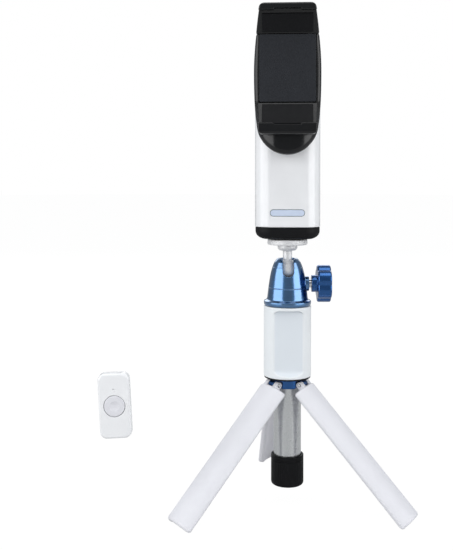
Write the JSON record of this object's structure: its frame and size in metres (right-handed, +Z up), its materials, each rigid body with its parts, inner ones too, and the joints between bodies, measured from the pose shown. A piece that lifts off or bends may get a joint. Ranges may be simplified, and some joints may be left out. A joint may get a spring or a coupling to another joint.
{
  "type": "selfie stick",
  "caption": "Tripod selfie stick: telescopic pole with folding legs, blue ball head, powered body with a sprung phone clamp, and a detachable remote control",
  "frame": {"origin": "centre of the flat underside of the end cap, on the axis of the stick; the floor under the open legs is at z = -0.012", "axes": "+Z up along the stick, -Y towards the front, where the remote docks, +X towards the clamp knob; the body and phone clamp are turned 4 degrees from the front on the ball head"},
  "size_m": [0.2022, 0.1496, 0.3304],
  "materials": {
    "white_gloss": "moulded white plastic, glossy",
    "white_collar": "white grip collar, glossy",
    "white_leg": "moulded white plastic, satin",
    "blue_anodised": "polished aluminium, blue anodised",
    "black_gloss": "moulded black plastic, glossy",
    "black_satin": "moulded black plastic, satin",
    "grey_rubber": "dark grey rubber, matte",
    "tube_metal": "thin stainless tube, drawn and polished",
    "bright_steel": "machined and plated steel",
    "silver_disc": "turned aluminium, silver anodised",
    "window": "translucent light strip",
    "board_green": "circuit board",
    "cell_wrap": "shrink-wrapped cell"
  },
  "bodies": {
    "handle": {"outer_tube": "tube_metal", "end_cap": "black_satin", "leg_hub": "blue_anodised", "collar_ring": "black_satin", "collar": "white_collar", "leg_pin_rear": "bright_steel", "leg_pin_front_left": "bright_steel", "leg_pin_front_right": "bright_steel", "guide_ring_1": "black_satin"},
    "rear_leg": {"leg_rear": "white_leg"},
    "front_left_leg": {"leg_front_left": "white_leg"},
    "front_right_leg": {"leg_front_right": "white_leg"},
    "first_section": {"section_1": "tube_metal", "section_1_bush": "black_satin", "guide_ring_2": "black_satin"},
    "second_section": {"section_2": "tube_metal", "section_2_bush": "black_satin", "guide_ring_3": "black_satin"},
    "third_section": {"section_3": "tube_metal", "section_3_bush": "black_satin", "guide_ring_4": "black_satin"},
    "fourth_section": {"section_4": "tube_metal", "section_4_bush": "black_satin", "pole_stud": "black_satin"},
    "head": {"ball_housing": "blue_anodised", "ball_seat": "black_satin", "brake_shoe": "black_satin"},
    "knob": {"clamp_knob": "blue_anodised", "knob_screw": "bright_steel"},
    "stem": {"ball_stem": "silver_disc", "top_screw": "bright_steel"},
    "wheel": {"lock_wheel": "silver_disc"},
    "stabiliser": {"bottom_cap": "black_satin", "front_shell": "white_gloss", "rear_shell": "white_gloss", "threaded_insert": "bright_steel", "light_window": "window", "circuit_board": "board_green", "battery": "cell_wrap", "motor_stator": "bright_steel", "usb_socket": "bright_steel", "shell_screw_left": "bright_steel", "shell_screw_right": "bright_steel"},
    "power_key": {"power_button": "black_satin"},
    "clamp": {"clamp_carrier": "black_gloss", "motor_rotor": "bright_steel", "lower_jaw": "black_gloss", "lower_jaw_pad": "black_satin", "back_pad": "grey_rubber", "guide_rod_left": "bright_steel", "guide_rod_right": "bright_steel", "spring_left": "bright_steel", "spring_right": "bright_steel"},
    "sliding_jaw": {"upper_jaw": "black_gloss", "upper_jaw_pad": "black_satin"},
    "remote": {"remote_front": "white_gloss", "remote_back": "white_gloss", "remote_board": "board_green", "coin_cell": "bright_steel"},
    "remote_key": {"remote_button": "white_leg"}
  },
  "joints": [
    {"name": "leg_rear_fold", "type": "hinge", "parent": "handle", "child": "rear_leg", "pos_m": [-0.00048, 0.01149, 0.0692], "axis": [-0.9991, -0.0419, 0], "range_deg": [0, 43.6]},
    {"name": "leg_front_left_fold", "type": "hinge", "parent": "handle", "child": "front_left_leg", "pos_m": [-0.00971, -0.00616, 0.0692], "axis": [0.5358, -0.8443, 0], "range_deg": [0, 43.6]},
    {"name": "leg_front_right_fold", "type": "hinge", "parent": "handle", "child": "front_right_leg", "pos_m": [0.01019, -0.00533, 0.0692], "axis": [0.4633, 0.8862, 0], "range_deg": [0, 43.6]},
    {"name": "section_1_slide", "type": "slide", "parent": "handle", "child": "first_section", "axis": [0, 0, 1], "range_m": [0, 0.09]},
    {"name": "section_2_slide", "type": "slide", "parent": "first_section", "child": "second_section", "axis": [0, 0, 1], "range_m": [0, 0.09]},
    {"name": "section_3_slide", "type": "slide", "parent": "second_section", "child": "third_section", "axis": [0, 0, 1], "range_m": [0, 0.09]},
    {"name": "section_4_slide", "type": "slide", "parent": "third_section", "child": "fourth_section", "axis": [0, 0, 1], "range_m": [0, 0.09]},
    {"name": "head_pan", "type": "hinge", "parent": "fourth_section", "child": "head", "pos_m": [0, 0, 0.1218], "axis": [0, 0, 1], "continuous": true},
    {"name": "knob_turn", "type": "hinge", "parent": "head", "child": "knob", "pos_m": [0, 0, 0.1361], "axis": [1, 0, 0], "range_deg": [0, 360]},
    {"name": "ball_tilt", "type": "hinge", "parent": "head", "child": "stem", "pos_m": [0, 0, 0.1452], "axis": [1, 0, 0], "range_deg": [-15, 90]},
    {"name": "ball_spin", "type": "hinge", "parent": "stem", "child": "stabiliser", "pos_m": [0, 0, 0.1671], "axis": [0, 0, 1], "continuous": true},
    {"name": "lock_wheel_turn", "type": "hinge", "parent": "stem", "child": "wheel", "pos_m": [0, 0, 0.164], "axis": [0, 0, 1], "range_deg": [0, 360]},
    {"name": "clamp_roll", "type": "hinge", "parent": "stabiliser", "child": "clamp", "pos_m": [-0.00126, -0.01796, 0.272], "axis": [-0.0698, -0.9976, 0], "continuous": true},
    {"name": "jaw_slide", "type": "slide", "parent": "clamp", "child": "sliding_jaw", "axis": [0, 0, 1], "range_m": [0, 0.03], "stiffness_N_per_m": 250, "springref_m": -0.02, "deforming": ["spring_left", "spring_right"]},
    {"name": "power_button_press", "type": "slide", "parent": "stabiliser", "child": "power_key", "axis": [-0.0698, -0.9976, 0], "range_m": [0, 0.0006], "stiffness_N_per_m": 800, "springref_m": -0.0005},
    {"name": "remote_button_press", "type": "slide", "parent": "remote", "child": "remote_key", "axis": [0, 1, 0], "range_m": [0, 0.0005], "stiffness_N_per_m": 800, "springref_m": -0.0005},
    {"name": "remote_dock", "type": "slide", "parent": "handle", "child": "remote", "axis": [0.9107, 0.3258, 0.2542], "range_m": [0, 0.12079]}
  ]
}
